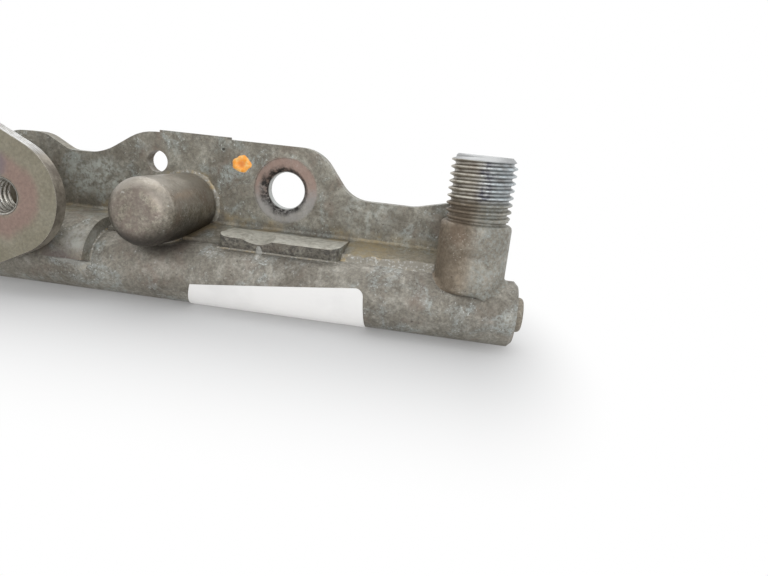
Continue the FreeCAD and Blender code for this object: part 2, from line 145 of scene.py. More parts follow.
class FUELRAIL_PG_details(bpy.types.PropertyGroup):
    """Sizes of the threads, edges, braze and paint."""

    edge: FloatProperty(
        name="Edge", description="Rounding of a stamped or turned edge",
        default=0.35 * MM, min=0.0, unit="LENGTH", precision=5)
    inlet_pitch: FloatProperty(
        name="Inlet pitch", description="Pitch of the inlet's thread",
        default=1.5 * MM, min=0.5 * MM, unit="LENGTH", precision=5)
    inlet_depth: FloatProperty(
        name="Inlet depth", description="Depth of the inlet's thread",
        default=0.86 * MM, min=0.1 * MM, unit="LENGTH", precision=5)
    support_pitch: FloatProperty(
        name="Support pitch", description="Pitch of the support tab's thread",
        default=1.25 * MM, min=0.5 * MM, unit="LENGTH", precision=5)
    support_depth: FloatProperty(
        name="Support depth", description="Depth of the support tab's thread",
        default=0.45 * MM, min=0.1 * MM, unit="LENGTH", precision=5)
    braze_size: FloatProperty(
        name="Braze size", description="Leg of a braze fillet",
        default=0.7 * MM, min=0.1 * MM, unit="LENGTH", precision=5)
    paint_width: FloatProperty(
        name="Paint width", description="Width of the dab of paint",
        default=4.1 * MM, min=0.5 * MM, unit="LENGTH", precision=5)


class FUELRAIL_PG_finishes(bpy.types.PropertyGroup):
    """Colours of the paint and the label."""

    paint: FloatVectorProperty(
        name="Paint", description="Dab of inspection paint",
        subtype="COLOR", default=(1.0, 0.38, 0.045), min=0.0, max=1.0)
    paper: FloatVectorProperty(
        name="Paper", description="Bare label",
        subtype="COLOR", default=(0.79, 0.78, 0.765), min=0.0, max=1.0)


class FUELRAIL_PG_stage(bpy.types.PropertyGroup):
    """Camera, floor and lamps."""

    camera_place: FloatVectorProperty(
        name="Camera place", description="Where the camera stands",
        subtype="TRANSLATION", default=(0.137674, -0.13818, 0.013141), precision=5)
    camera_turn: FloatProperty(
        name="Turn", description="Camera's turn to the left of straight on",
        default=radians(5.816), subtype="ANGLE")
    camera_drop: FloatProperty(
        name="Drop", description="How far the camera looks down",
        default=radians(13.875), subtype="ANGLE")
    camera_roll: FloatProperty(
        name="Roll", description="Camera's roll about its own view",
        default=radians(6.151), subtype="ANGLE")
    lens: FloatProperty(
        name="Lens", description="Focal length on a 36 mm wide sensor, in millimetres",
        default=27.11, min=5.0)
    floor_gap: FloatProperty(
        name="Floor gap", description="Height of the tube above the floor",
        default=0.2 * MM, min=0.0, unit="LENGTH")
    key_power: FloatProperty(
        name="Key", description="Power of the large lamp above", default=2.0, min=0.0, unit="POWER")
    fill_power: FloatProperty(
        name="Fill", description="Power of the lamp in front", default=1.5, min=0.0, unit="POWER")
    sky: FloatProperty(
        name="Sky", description="Level of the light from all round", default=0.9, min=0.0)


# Mesh helpers.

def add_object(name, data):
    """New object that is linked to the scene."""
    thing = bpy.data.objects.new(name, data)
    bpy.context.scene.collection.objects.link(thing)
    return thing


def add_piece(mesh, material):
    """Link a mesh as a piece that rides on the rail, in one material."""
    piece = add_object(mesh.name, mesh)
    mesh.materials.clear()
    mesh.materials.append(material)
    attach(piece, "root")
    return piece


def mesh_from(name, points, faces, smooth=True):
    """Mesh from points and faces, with its normals made consistent."""
    mesh = bpy.data.meshes.new(name)
    mesh.from_pydata([tuple(point) for point in points], [], faces)
    shell = bmesh.new()
    shell.from_mesh(mesh)
    bmesh.ops.remove_doubles(shell, verts=shell.verts, dist=1e-7)
    bmesh.ops.recalc_face_normals(shell, faces=shell.faces)
    shell.to_mesh(mesh)
    shell.free()
    for polygon in mesh.polygons:
        polygon.use_smooth = smooth
    return mesh


def grid_faces(rows, columns, closed):
    """Quads of a grid of rows by columns; closed joins the last column to the first."""
    faces = []
    for row in range(rows - 1):
        for column in range(columns if closed else columns - 1):
            after = (column + 1) % columns
            low = row * columns
            faces.append((low + column, low + after, low + columns + after, low + columns + column))
    return faces


def rounded_copy(node, width, sharp=28.0, reshape=None):
    """Copy a node's mesh with flat regions cleaned and sharp edges rounded."""
    mesh = frame["nodes"][node].data.copy()
    mesh.name = node + "_dressed"
    shell = bmesh.new()
    shell.from_mesh(mesh)
    bmesh.ops.remove_doubles(shell, verts=shell.verts, dist=2e-6)
    if reshape:
        reshape(shell)
    bmesh.ops.dissolve_limit(shell, angle_limit=radians(0.4), verts=shell.verts, edges=shell.edges)
    shared = [edge for edge in shell.edges if len(edge.link_faces) == 2]
    edges = [edge for edge in shared if edge.calc_face_angle() > radians(sharp)]
    bmesh.ops.bevel(
        shell, geom=edges, offset=width, segments=3, profile=0.5, affect="EDGES", clamp_overlap=True)
    shell.to_mesh(mesh)
    shell.free()
    for polygon in mesh.polygons:
        polygon.use_smooth = True
    return mesh


def dress(node, slot, steel, width, **how):
    """Put a node's rounded copy in its place, with normals that keep flat faces flat."""
    piece = add_piece(rounded_copy(node, width, **how), steel)
    weighted = piece.modifiers.new("Flat faces", "WEIGHTED_NORMAL")
    weighted.weight = 80
    weighted.keep_sharp = False
    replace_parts(piece, node)


def turns(columns):
    """Angles of a ring's columns."""
    return [2 * pi * column / columns for column in range(columns)]


def turned_points(rows, place):
    """Points of rows of (radius, height) entries, each row turned round an axis."""
    points = []
    for row in rows:
        for angle, (radius, height) in zip(turns(len(row)), row):
            points.append(place(radius * cos(angle), radius * sin(angle), height))
    return points


def wobble(point, scale, seed):
    """Smooth noise between about -1 and 1 at a point in space."""
    return noise.noise(Vector(point) * scale + Vector((seed, seed * 1.7, seed * 0.3)))


def thread_depth(along, angle, pitch):
    """Share of a thread's depth at a place along and round a right-handed thread."""
    crest_half = 0.09
    flank = 0.27
    phase = (along / pitch - angle / (2 * pi)) % 1.0
    away = min(phase, 1.0 - phase)
    share = min(max((away - crest_half) / flank, 0.0), 1.0)
    return share * share * (3 - 2 * share) * 0.35 + share * 0.65


def fillet_strip(corners, size, seed, closed):
    """Concave fillet along an inner corner of (point, first leg, second leg) entries."""
    columns = 5
    points = []
    for point, first, second in corners:
        leg = size * (1 + 0.4 * (wobble(point, 420.0, seed) + wobble(point, 1300.0, seed + 3)))
        start = point + first * leg
        finish = point + second * leg
        for column in range(columns):
            share = column / (columns - 1)
            blend = start * (1 - share) ** 2 + finish * share ** 2
            blend += (point + (first + second) * leg * 0.12) * (2 * share * (1 - share))
            points.append(blend)
    if closed:
        points += points[:columns]
    return points, grid_faces(len(points) // columns, columns, False)


def bead(path, width, height, seed):
    """Raised ribbon along a path of (point, outward normal) entries, thinning at its ends."""
    columns = 9
    points = []
    rows = len(path)
    for row, (point, normal) in enumerate(path):
        share = row / (rows - 1)
        ahead = path[min(row + 1, rows - 1)][0] - path[max(row - 1, 0)][0]
        across = ahead.cross(normal).normalized()
        swell = sin(pi * min(max(share, 0.02), 0.98)) ** 0.45
        swell *= 1 + 0.35 * wobble(point, 700.0, seed)
        for column in range(columns):
            side = 2 * column / (columns - 1) - 1
            rise = height * swell * (1 - side * side) * (1 + 0.3 * wobble((side, share, seed), 3.0, seed))
            points.append(point + across * (side * width / 2 * swell) + normal * (rise - 0.04 * MM))
    return points, grid_faces(rows, columns, False)


def on_tube(x, angle, radius):
    """Point and outward normal at an angle from the tube's top towards its front."""
    outward = Vector((0.0, -sin(angle), cos(angle)))
    return Vector((x, TUBE_Y, TUBE_Z)) + outward * radius, outward


# Colours that no property holds.

PIT = (0.06, 0.05, 0.042)
# Colour of the painted shade laid in crevices.
CREVICE_SHADE = (0.05, 0.041, 0.033)
# Painted shade on the undersides of the cups.
UNDERSIDE_SHADE = (0.03, 0.025, 0.021)
POCK = (0.03, 0.025, 0.02)
SOOT = (0.02, 0.017, 0.015)
PALE_BLOOM = (0.54, 0.565, 0.535)
BURNT = (0.115, 0.088, 0.088)
WIPED = (0.5, 0.5, 0.48)
SHEARED_FACE = (0.075, 0.068, 0.064)
# Painted shade in the root of each pad.
PAD_ROOT_SHADE = (0.07, 0.058, 0.045)
# Pale top of each pad: rubbed wear and a painted highlight.
PAD_TOP_WEAR_AND_HIGHLIGHT = (0.53, 0.515, 0.46)
GREY_SEAT = (0.36, 0.345, 0.34)
ROSY_SEAT = (0.33, 0.225, 0.19)
BARE_WALL = (0.55, 0.57, 0.57)
ROSY_CUP = (0.2, 0.165, 0.15)
# Painted highlight on the cups' upper shoulders.
SHOULDER_HIGHLIGHT = (0.4, 0.375, 0.34)
DULL_THREAD = (0.4, 0.39, 0.385)
# Painted shade in the thread's roots.
THREAD_ROOT_SHADE = (0.18, 0.17, 0.16)
# Painted dark blue reflection down the middle of the thread.
DARK_BLUE_REFLECTION = (0.16, 0.17, 0.215)
THREAD_RIM = (0.4, 0.425, 0.44)
OLIVE = ((0.17, 0.155, 0.108), (0.26, 0.235, 0.168))
ROSY_TAB = ((0.215, 0.142, 0.122), (0.285, 0.19, 0.162))
VIOLET = (0.17, 0.14, 0.155)
ROLLED = ((0.12, 0.1, 0.08), (0.3, 0.27, 0.225))
# Painted highlight along the tab's rounded corners.
CORNER_HIGHLIGHT = (0.72, 0.7, 0.66)
SHEARED_TAB = (0.66, 0.67, 0.67)
FLUX = (0.47, 0.48, 0.46)
PALE_PAINT = (1.0, 0.62, 0.22)
DEEP_PAINT = (0.72, 0.17, 0.02)
WHITE = (1.0, 1.0, 1.0)
SKY = (0.975, 0.985, 1.0)


# Material helpers.

class Nodes:
    """Adds and links the nodes of one tree."""

    def __init__(self, tree, coordinates="Object"):
        self.tree = tree
        self.place = self.add("ShaderNodeTexCoord").outputs[coordinates]
        self.x, self.y, self.z = self.parts(self.place)

    def add(self, kind, inputs=None, **settings):
        node = self.tree.nodes.new(kind)
        for key, value in settings.items():
            setattr(node, key, value)
        for key, value in (inputs or {}).items():
            self.feed(node.inputs[key], value)
        return node

    def feed(self, socket, value):
        """Link an output or set a value."""
        if isinstance(value, bpy.types.NodeSocket):
            self.tree.links.new(value, socket)
        elif hasattr(value, "__len__") and len(value) == 3 and socket.type == "RGBA":
            socket.default_value = (*value, 1.0)
        else:
            socket.default_value = value

    def parts(self, vector):
        return self.add("ShaderNodeSeparateXYZ", {0: vector}).outputs

    def math(self, operation, first, second=0.0, third=0.0):
        return self.add("ShaderNodeMath", {0: first, 1: second, 2: third}, operation=operation).outputs[0]

    def times(self, *shares):
        """Product of shares, where a tuple stands for a span."""
        first, *others = [self.span(*share) if isinstance(share, tuple) else share for share in shares]
        for other in others:
            first = self.math("MULTIPLY", first, other)
        return first

    def span(self, value, low, high, first=0.0, last=1.0):
        """Value mapped from one span to another, smooth and clamped."""
        return self.add("ShaderNodeMapRange", {
            "Value": value, "From Min": low, "From Max": high, "To Min": first, "To Max": last},
            interpolation_type="SMOOTHSTEP").outputs[0]

    def span_mm(self, value, low, high, first=0.0, last=1.0):
        """Span from limits given in millimetres."""
        return self.span(value, low * MM, high * MM, first, last)

    def seen(self):
        """Whether the camera sees the place, directly, in a gloss or through a clear piece."""
        path = self.add("ShaderNodeLightPath").outputs
        bent = self.math("MAXIMUM", path["Is Glossy Ray"], path["Is Transmission Ray"])
        return self.math("MAXIMUM", path["Is Camera Ray"], bent)

    def blend(self, share, first, second, output):
        """Send a mix of two shaders to the tree's output."""
        mixed = self.add("ShaderNodeMixShader", {0: share, 1: first.outputs[0], 2: second.outputs[0]})
        self.feed(self.tree.nodes[output].inputs["Surface"], mixed.outputs[0])


class Skin(Nodes):
    """Nodes of one material, whose colour is laid on coat by coat."""

    def __init__(self, name, colour=None):
        self.material = bpy.data.materials.new(name)
        self.material.use_nodes = True
        super().__init__(self.material.node_tree)
        self.surface = self.tree.nodes["Principled BSDF"]
        self.colour = colour

    def noise(self, scale, detail=5.0, rough=0.6, shift=0.0, warp=0.0):
        """Noise value at a scale in features per metre."""
        place = self.add("ShaderNodeVectorMath", {0: self.place, 1: (shift, shift, shift)}, operation="ADD")
        node = self.add("ShaderNodeTexNoise", {
            "Vector": place.outputs[0], "Scale": scale, "Detail": detail,
            "Roughness": rough, "Distortion": warp})
        return node.outputs["Fac"]

    def mix(self, factor, first, second, blend="MIX"):
        """Mix of two colours."""
        node = self.add("ShaderNodeMix", {0: factor, 6: first, 7: second}, data_type="RGBA", blend_type=blend)
        return node.outputs[2]

    def coat(self, colour, *shares):
        """Lay a colour over the last one, by the product of some shares."""
        self.colour = self.mix(self.times(*shares), self.colour, colour)

    def tint(self, colour):
        """Multiply the colour by another."""
        self.colour = self.mix(1.0, self.colour, colour, "MULTIPLY")

    def paint_crevice_shade(self, near, far, *shares):
        """Paint shade into crevices, by how much of the sky they see."""
        crevice = self.add("ShaderNodeAmbientOcclusion", {"Distance": 5 * MM}, samples=8).outputs["AO"]
        self.coat(CREVICE_SHADE, (crevice, near, far), *shares)

    def facing(self):
        """Parts of the surface's own normal."""
        return self.parts(self.add("ShaderNodeNewGeometry").outputs["Normal"])

    def grey(self, level):
        return self.add("ShaderNodeCombineColor", {0: level, 1: level, 2: level}).outputs[0]

    def away(self, along, centre_along, up, centre_up):
        """Distance from an axis, in the plane of two coordinates."""
        first = self.math("SUBTRACT", along, centre_along)
        second = self.math("SUBTRACT", up, centre_up)
        return self.math("SQRT", self.math("ADD", self.times(first, first), self.times(second, second)))

    def ruffle(self, value, noise_value, width):
        """Value moved by a noise, by up to a width in millimetres."""
        return self.math("MULTIPLY_ADD", noise_value, width * MM, value)

    def spot(self, along, centre_along, centre_up, outer, inner, last=1.0, ragged=0.0, width=0.0):
        """Round mark that comes up from an outer to an inner radius in millimetres."""
        away = self.ruffle(self.away(along, centre_along, self.z, centre_up), ragged, width)
        return self.span_mm(away, outer, inner, 0.0, last)

    def bump(self, height, strength, distance):
        node = self.add("ShaderNodeBump", {"Height": height, "Strength": strength, "Distance": distance})
        return node.outputs[0]

    def finish(self, rough, bump, metal=0.0):
        """Material with its colour, roughness, bump and metal in place."""
        inputs = {"Base Color": self.colour, "Roughness": rough, "Normal": bump, "Metallic": metal}
        for key, value in inputs.items():
            self.feed(self.surface.inputs[key], value)
        return self.material


def worn_steel(name, tint=WHITE, bloom=0.6, stain=0.45, specks=0.6, grit=0.26, soil_and_shade=0.8,
               metal=0.4, rough=(0.42, 0.68), shift=0.0, extra=None):
    """Dull plated steel with mottled tone, blue-grey bloom, stains, specks and pits, with painted shade in
    crevices and towards the right end.
    """
    look = bpy.context.scene.fuel_rail_steel
    skin = Skin(name, look.shade)
    tone = skin.noise(75.0, 6.0, 0.62, shift)
    broad = skin.noise(230.0, 8.0, 0.7, shift + 3.1, 0.4)
    fine = skin.noise(1500.0, 6.0, 0.72, shift + 7.3)
    patch = skin.noise(120.0, 9.0, 0.7, shift + 11.9, 0.6)
    stains = skin.noise(95.0, 8.0, 0.66, shift + 19.4, 0.5)
    dots = skin.noise(1900.0, 3.0, 0.5, shift + 23.0)
    pitted = skin.span(skin.noise(1300.0, 4.0, 0.6, shift + 31.0), 0.36, 0.3)
    skin.coat(look.base, (tone, 0.34, 0.66))
    skin.coat(look.light, (broad, 0.44, 0.7))
    skin.tint(skin.grey(skin.span(fine, 0.32, 0.68, 1 - grit, 1 + grit)))
    skin.coat(look.oxide, (patch, 0.5, 0.62), (fine, 0.36, 0.6), bloom)
    skin.coat(look.rust, (stains, 0.52, 0.66), stain)
    skin.coat(look.speck, (dots, 0.62, 0.69), (patch, 0.44, 0.6), specks)
    skin.coat(PIT, pitted, 0.6)
    bare = extra(skin) if extra else None
    # Painted shade in crevices that see little sky, from about the tube's middle upwards.
    skin.paint_crevice_shade(0.72, 0.3, skin.span(skin.z, TUBE_Z - 4 * MM, TUBE_Z - 1 * MM), soil_and_shade)
    skin.tint(tint)
    # Painted shade: darker towards the right end, from 50 to 110 mm along X.
    skin.tint(skin.grey(skin.span_mm(skin.x, 50, 110, 1.0, 0.92)))
    roughness = skin.span(broad, 0.3, 0.7, rough[1], rough[0])
    depth = look.grain
    if bare is not None:
        metal = skin.span(bare, 0.0, 1.0, metal, 0.95)
        roughness = skin.add("ShaderNodeMix", {0: bare, 2: roughness, 3: 0.42}).outputs[0]
        depth = skin.span(bare, 0.0, 1.0, look.grain, 0.08)
    height = skin.math("ADD", skin.times(fine, 0.6), skin.times(broad, 0.8))
    height = skin.math("SUBTRACT", height, skin.times(pitted, 0.5))
    return skin.finish(roughness, skin.bump(height, depth, 0.25 * MM), metal)


def gold_left(skin):
    """Share of the braze's gold that is left: it fades between the last pad and the inlet."""
    pad_end = BOLT_X[2] + PAD_RIGHT
    return skin.span(skin.x, pad_end + 4 * MM, pad_end + 13 * MM, 1.0, 0.35)


def bracket_tints(skin):
    """Brazed, pale, burnt and rubbed places of the bracket, with painted shade and highlight on the pads, by
    X from the nearest bolt hole.
    """
    along = skin.math("WRAP", skin.x, PITCH / 2, -PITCH / 2)
    ragged = skin.noise(420.0, 6.0, 0.65, 41.0)
    blotch = skin.noise(140.0, 6.0, 0.65, 43.0)
    gaps = skin.noise(900.0, 5.0, 0.7, 49.0)
    gold_tints(skin, along, ragged, blotch, gaps)
    bloom_tints(skin, along, ragged, blotch, gaps)
    band_tints(skin, along, ragged, blotch)
    pad_tints(skin, along, gaps)
    bolt_tints(skin, along, ragged, blotch, gaps)


def gold_tints(skin, along, ragged, blotch, gaps):
    """Gold round each cup, along the plate's foot and on the flange beside each pad."""
    braze = bpy.context.scene.fuel_rail_steel.braze
    skin.coat(
        braze, skin.spot(along, CUP_X[1] - BOLT_X[1], CUP_Z, 10.6, 8.6, 1.0, ragged, 2.4),
        (blotch, 0.4, 0.62), 0.8)
    skin.coat(
        braze, skin.span_mm(skin.z, -6.4, -8.4), (blotch, 0.42, 0.62), skin.span_mm(skin.y, -8.5, -6.0),
        (gaps, 0.3, 0.6, 0.3, 0.75), gold_left(skin))
    skin.coat(
        braze, (along, PAD_RIGHT, PAD_RIGHT + 3 * MM), skin.span_mm(skin.z, -8.8, -9.4),
        skin.span_mm(skin.ruffle(skin.z, ragged, 3.0), -12.2, -10.8), (gaps, 0.3, 0.6, 0.15, 0.7),
        (along, PAD_RIGHT + 4 * MM, PAD_RIGHT + 15 * MM, 1.0, 0.3))


def bloom_tints(skin, along, ragged, blotch, gaps):
    """Pale patches between the stations and right of each bolt hole."""
    between = skin.spot(
        skin.math("ABSOLUTE", along), 46.0 * MM, -1.5 * MM, 9.5, 5.5, 1.0, blotch, 6.0)
    beside = skin.spot(along, 20.0 * MM, -2.0 * MM, 13.0, 6.0, 0.6, blotch, 8.0)
    patches = skin.math("MAXIMUM", between, beside)
    skin.coat(PALE_BLOOM, patches, (ragged, 0.34, 0.58), (gaps, 0.36, 0.6), 0.85)


def band_tints(skin, along, ragged, blotch):
    """Burnt lower corner and wiped crown of each band."""
    skin.coat(BURNT, skin.spot(along, -44.0 * MM, TUBE_Z - 0.5 * MM, 10.5, 6.5, 0.65, blotch, 8.0))
    skin.coat(
        WIPED, skin.spot(along, -41.0 * MM, TUBE_Z + 5.5 * MM, 6.5, 3.0, 1.0, blotch, 5.0),
        (ragged, 0.34, 0.6, 0.2, 0.8))


def pad_tints(skin, along, gaps):
    """Dark sheared front, painted shade in the root, and pale top of each pad, rubbed and with a painted
    highlight from above.
    """
    level = skin.span(skin.facing()[2], 0.75, 0.92)
    inside = skin.times((along, PAD_LEFT - 0.2 * MM, PAD_LEFT), (along, PAD_RIGHT, PAD_RIGHT - 0.2 * MM))
    skin.coat(
        SHEARED_FACE, inside, (level, 0.5, 0.0), skin.span_mm(skin.y, -14.0, -15.0),
        (gaps, 0.38, 0.58, 0.85, 0.1))
    # Painted shade in the root where each pad meets the plate.
    skin.coat(PAD_ROOT_SHADE, inside, skin.span_mm(skin.z, -7.4, -9.0), skin.span_mm(skin.y, -6.4, -5.2), 0.3)
    # Pale upward-facing top of each pad: rubbed wear and a painted highlight.
    rubbed = skin.span(skin.noise(650.0, 6.0, 0.7, 45.0), 0.32, 0.62, 0.2, 1.0)
    skin.coat(PAD_TOP_WEAR_AND_HIGHLIGHT, level, inside, skin.span_mm(skin.y, -5.5, -7.0), rubbed)


def bolt_tints(skin, along, ragged, blotch, gaps):
    """Pock left of each bolt hole, its rubbed seat, sooty chamfer and bare wall."""
    skin.coat(POCK, skin.spot(along, POCK_X, POCK_Z, 0.5, 0.25, 0.85))
    rub = skin.span(skin.noise(260.0, 7.0, 0.7, 47.0), 0.3, 0.62)
    worn = skin.mix(skin.span_mm(skin.ruffle(skin.z, rub, 3.0), -1.5, 4.5), GREY_SEAT, ROSY_SEAT)
    skin.coat(worn, skin.spot(along, 0.0, 0.0, 8.5, 7.7, 1.0, ragged, 0.9), (blotch, 0.3, 0.6, 0.5, 0.85))
    bolt = skin.away(along, 0.0, skin.z, 0.0)
    inner = BOLT_R + 0.05 * MM
    outer = BOLT_R + 0.25 * MM
    lean = skin.math("MULTIPLY_ADD", along, 0.1, bolt)
    skin.coat(
        SOOT, skin.span_mm(skin.ruffle(lean, ragged, 3.2), 8.0, 6.3), (bolt, inner, outer),
        (gaps, 0.64, 0.46, 0.3, 1.0))
    skin.coat(BARE_WALL, (bolt, outer, inner), (ragged, 0.3, 0.6, 0.4, 0.9))


def cup_tints(skin):
    """Rosy mottled front, painted highlight on the upper shoulder, painted shade on the underside where the
    cup faces the tube.
    """
    facing = skin.facing()
    skin.coat(ROSY_CUP, (facing[1], -0.5, -0.95), (skin.noise(330.0, 7.0, 0.7, 67.0), 0.38, 0.6), 0.7)
    # Painted highlight on the upward-facing sides of the cup.
    skin.coat(
        SHOULDER_HIGHLIGHT, (skin.math("ABSOLUTE", facing[1]), 0.97, 0.8), (facing[2], -0.1, 0.55),
        (skin.noise(260.0, 6.0, 0.7, 69.0), 0.3, 0.6, 0.25, 0.7))
    # Painted shade on the downward-facing underside of the cup.
    skin.coat(UNDERSIDE_SHADE, (facing[2], 0.1, -0.7), 0.85)


def inlet_tints(skin):
    """Bright worn thread above, brown-grey turns below, frosted on the right, with painted reflections and
    shade on the thread and painted shade on the left side.
    """
    look = bpy.context.scene.fuel_rail_steel
    body = skin.colour
    streak = skin.span(skin.noise(700.0, 5.0, 0.65, 57.0), 0.3, 0.66)
    skin.colour = skin.mix(streak, DULL_THREAD, look.bright)
    # Painted reflection tint on the bright thread: warm on the left, cool on the right.
    skin.tint(skin.mix(
        skin.span(skin.x, INLET_X - 3 * MM, INLET_X + 3 * MM), (0.95, 0.9, 0.8), (0.86, 0.93, 0.97)))
    away = skin.away(skin.x, INLET_X, skin.y, TUBE_Y)
    # Painted shade in the thread's roots, below the top rim.
    skin.coat(
        THREAD_ROOT_SHADE, (away, THREAD_R - 0.4 * MM, THREAD_R - 0.75 * MM),
        (skin.z, INLET_HIGH.z - 0.9 * MM, INLET_HIGH.z - 1.3 * MM), 0.35)
    # Painted dark blue reflection down the middle of the thread, on the side facing front.
    middle = skin.math("ABSOLUTE", skin.math("SUBTRACT", skin.x, INLET_X + 0.4 * MM))
    skin.coat(DARK_BLUE_REFLECTION, skin.span_mm(middle, 2.0, 0.6), (streak, 0.3, 0.75, 0.85, 0.1))
    skin.coat(THREAD_RIM, (skin.z, INLET_HIGH.z - 1.3 * MM, INLET_HIGH.z - 1.0 * MM))
    bright = skin.colour
    skin.colour = body
    skin.coat(
        look.oxide, (skin.x, INLET_X - 1.5 * MM, INLET_X + 1.5 * MM),
        (skin.noise(1300.0, 7.0, 0.75, 55.0), 0.44, 0.62), 0.55)
    # Darker, browner left side of the collar and turns: brown tone and painted shade.
    left = skin.span(skin.x, INLET_X + 1.0 * MM, INLET_X - 2.5 * MM)
    skin.tint(skin.mix(left, (0.99, 1.02, 1.03), (0.82, 0.74, 0.66)))
    worn = skin.span_mm(skin.ruffle(skin.z, skin.noise(300.0, 5.0, 0.6, 53.0), 2.5), 4.4, 6.0)
    skin.coat(bright, worn)
    return worn


def tab_tints(skin):
    """Smooth olive face with a pink and violet heat tint, bright sheared edge above and a painted highlight
    along the rounded corners.
    """
    ragged = skin.noise(150.0, 5.0, 0.6, 61.0)
    grain = skin.span(skin.noise(1400.0, 6.0, 0.75, 65.0), 0.3, 0.7)
    skin.coat(skin.mix(grain, *OLIVE), 0.75)
    away = skin.ruffle(skin.away(skin.x, TAB_HOLE.x, skin.z, TAB_HOLE.z), ragged, 4.0)
    skin.coat(skin.mix(grain, *ROSY_TAB), skin.span_mm(away, 5.2, 7.0), skin.span_mm(away, 11.5, 9.0), 0.8)
    skin.coat(
        VIOLET, skin.spot(skin.x, TAB_HOLE.x - 1.0 * MM, TAB_HOLE.z + 6.5 * MM, 5.0, 2.8, 0.7, ragged, 3.0))
    level = skin.math("ABSOLUTE", skin.facing()[1])
    side = skin.span(level, 0.75, 0.45)
    mottle = skin.span(skin.noise(260.0, 7.0, 0.72, 71.0), 0.36, 0.62)
    skin.coat(skin.mix(mottle, *ROLLED), side, 0.85)
    # Painted highlight along the rounded corners between face and sides.
    skin.coat(CORNER_HIGHLIGHT, (level, 0.99, 0.9), (level, 0.3, 0.45), (mottle, 0.0, 1.0, 0.25, 1.0))
    streak = skin.span(skin.noise(500.0, 5.0, 0.65, 63.0), 0.35, 0.6)
    lines = skin.math("MULTIPLY_ADD", skin.y, 2 * pi / SHEAR_LINE, skin.times(ragged, 5.0))
    sheared = skin.times(
        side, skin.span_mm(skin.z, 3.0, 6.0), (streak, 0.0, 1.0, 0.5, 1.0),
        (skin.math("SINE", lines), -0.6, 0.5, 0.35, 1.0))
    skin.coat(SHEARED_TAB, sheared)
    return skin.times(sheared, 0.5)


def braze_metal(name, flux):
    """Grey-gold braze, dulled by oxide, golden in patches and whitened by flux."""
    look = bpy.context.scene.fuel_rail_steel
    skin = Skin(name, look.base)
    broad = skin.noise(230.0, 7.0, 0.7)
    fine = skin.noise(1700.0, 5.0, 0.7, 5.0)
    skin.coat(look.braze, (broad, 0.5, 0.68), gold_left(skin))
    skin.coat(look.speck, (fine, 0.5, 0.72, 0.0, 0.7))
    skin.coat(look.shade, (fine, 0.4, 0.28, 0.0, 0.7))
    skin.coat(FLUX, flux)
    # Painted shade in the braze's crevices.
    skin.paint_crevice_shade(0.55, 0.2, 0.8)
    return skin.finish(skin.span(broad, 0.3, 0.7, 0.62, 0.42), skin.bump(fine, 0.4, 0.2 * MM), 0.4)


def label_paper():
    """Coated white paper with a faint fibre and a little soil."""
    paper = bpy.context.scene.fuel_rail_finishes.paper
    skin = Skin("Label paper", paper)
    fibre = skin.noise(2400.0, 4.0, 0.6)
    soil_and_shade = skin.noise(60.0, 5.0, 0.6, 3.0)
    skin.coat(tuple(channel * 0.93 for channel in paper), (soil_and_shade, 0.45, 0.7))
    return skin.finish(0.55, skin.bump(fibre, 0.12, 0.05 * MM))


def paint_coat():
    """Thick orange paint, paler where it is thin."""
    skin = Skin("Inspection paint", bpy.context.scene.fuel_rail_finishes.paint)
    broad = skin.noise(900.0, 4.0, 0.6)
    skin.coat(PALE_PAINT, (broad, 0.4, 0.7))
    skin.coat(DEEP_PAINT, skin.spot(skin.x, PAINT_X, PAINT_Z, 1.2, 0.3, 0.7))
    return skin.finish(0.45, skin.bump(broad, 0.3, 0.2 * MM))


# Operators, one for each group of pieces and one for the stage.

class FUELRAIL_OT_tube(bpy.types.Operator):
    """Round the tube's ends and dress it and its plugs in worn steel"""

    bl_idname = "fuelrail.tube"
    bl_label = "Tube and plugs"

    def execute(self, context):
        sizes = context.scene.fuel_rail_details
        steel = worn_steel("Tube steel", bloom=0.75, soil_and_shade=0.6, shift=0.5)
        plug_steel = worn_steel("Plug steel", tint=(1.05, 1.0, 0.95), shift=9.0)
        dress("rail_tube", "tube_steel", steel, sizes.edge * 1.6)
        for node in ("inlet_end_plug", "far_end_plug"):
            dress(node, "plug_steel", plug_steel, sizes.edge)
        return {"FINISHED"}


class FUELRAIL_OT_bracket(bpy.types.Operator):
    """Round the stamped bracket's edges and dress it in worn steel"""

    bl_idname = "fuelrail.bracket"
    bl_label = "Mounting bracket"

    def execute(self, context):
        steel = worn_steel(
            "Bracket steel", tint=(0.97, 0.975, 0.955), bloom=0.8, soil_and_shade=0.5, shift=2.2, extra=bracket_tints)
        dress("mounting_bracket", "bracket_steel", steel, context.scene.fuel_rail_details.edge)
        return {"FINISHED"}


class FUELRAIL_OT_cups(bpy.types.Operator):
    """Dress the three injector cups"""

    bl_idname = "fuelrail.cups"
    bl_label = "Injector cups"

    def execute(self, context):
        steel = worn_steel(
            "Cup steel", tint=(1.02, 0.99, 0.95), bloom=0.25, stain=0.6, specks=0.8, grit=0.38, metal=0.75,
            rough=(0.28, 0.44), shift=4.4, extra=cup_tints)
        width = context.scene.fuel_rail_details.edge * 0.7
        for index in (1, 2, 3):
            dress("injector_cup_%d" % index, "cup_steel", steel, width, sharp=35.0)
        return {"FINISHED"}


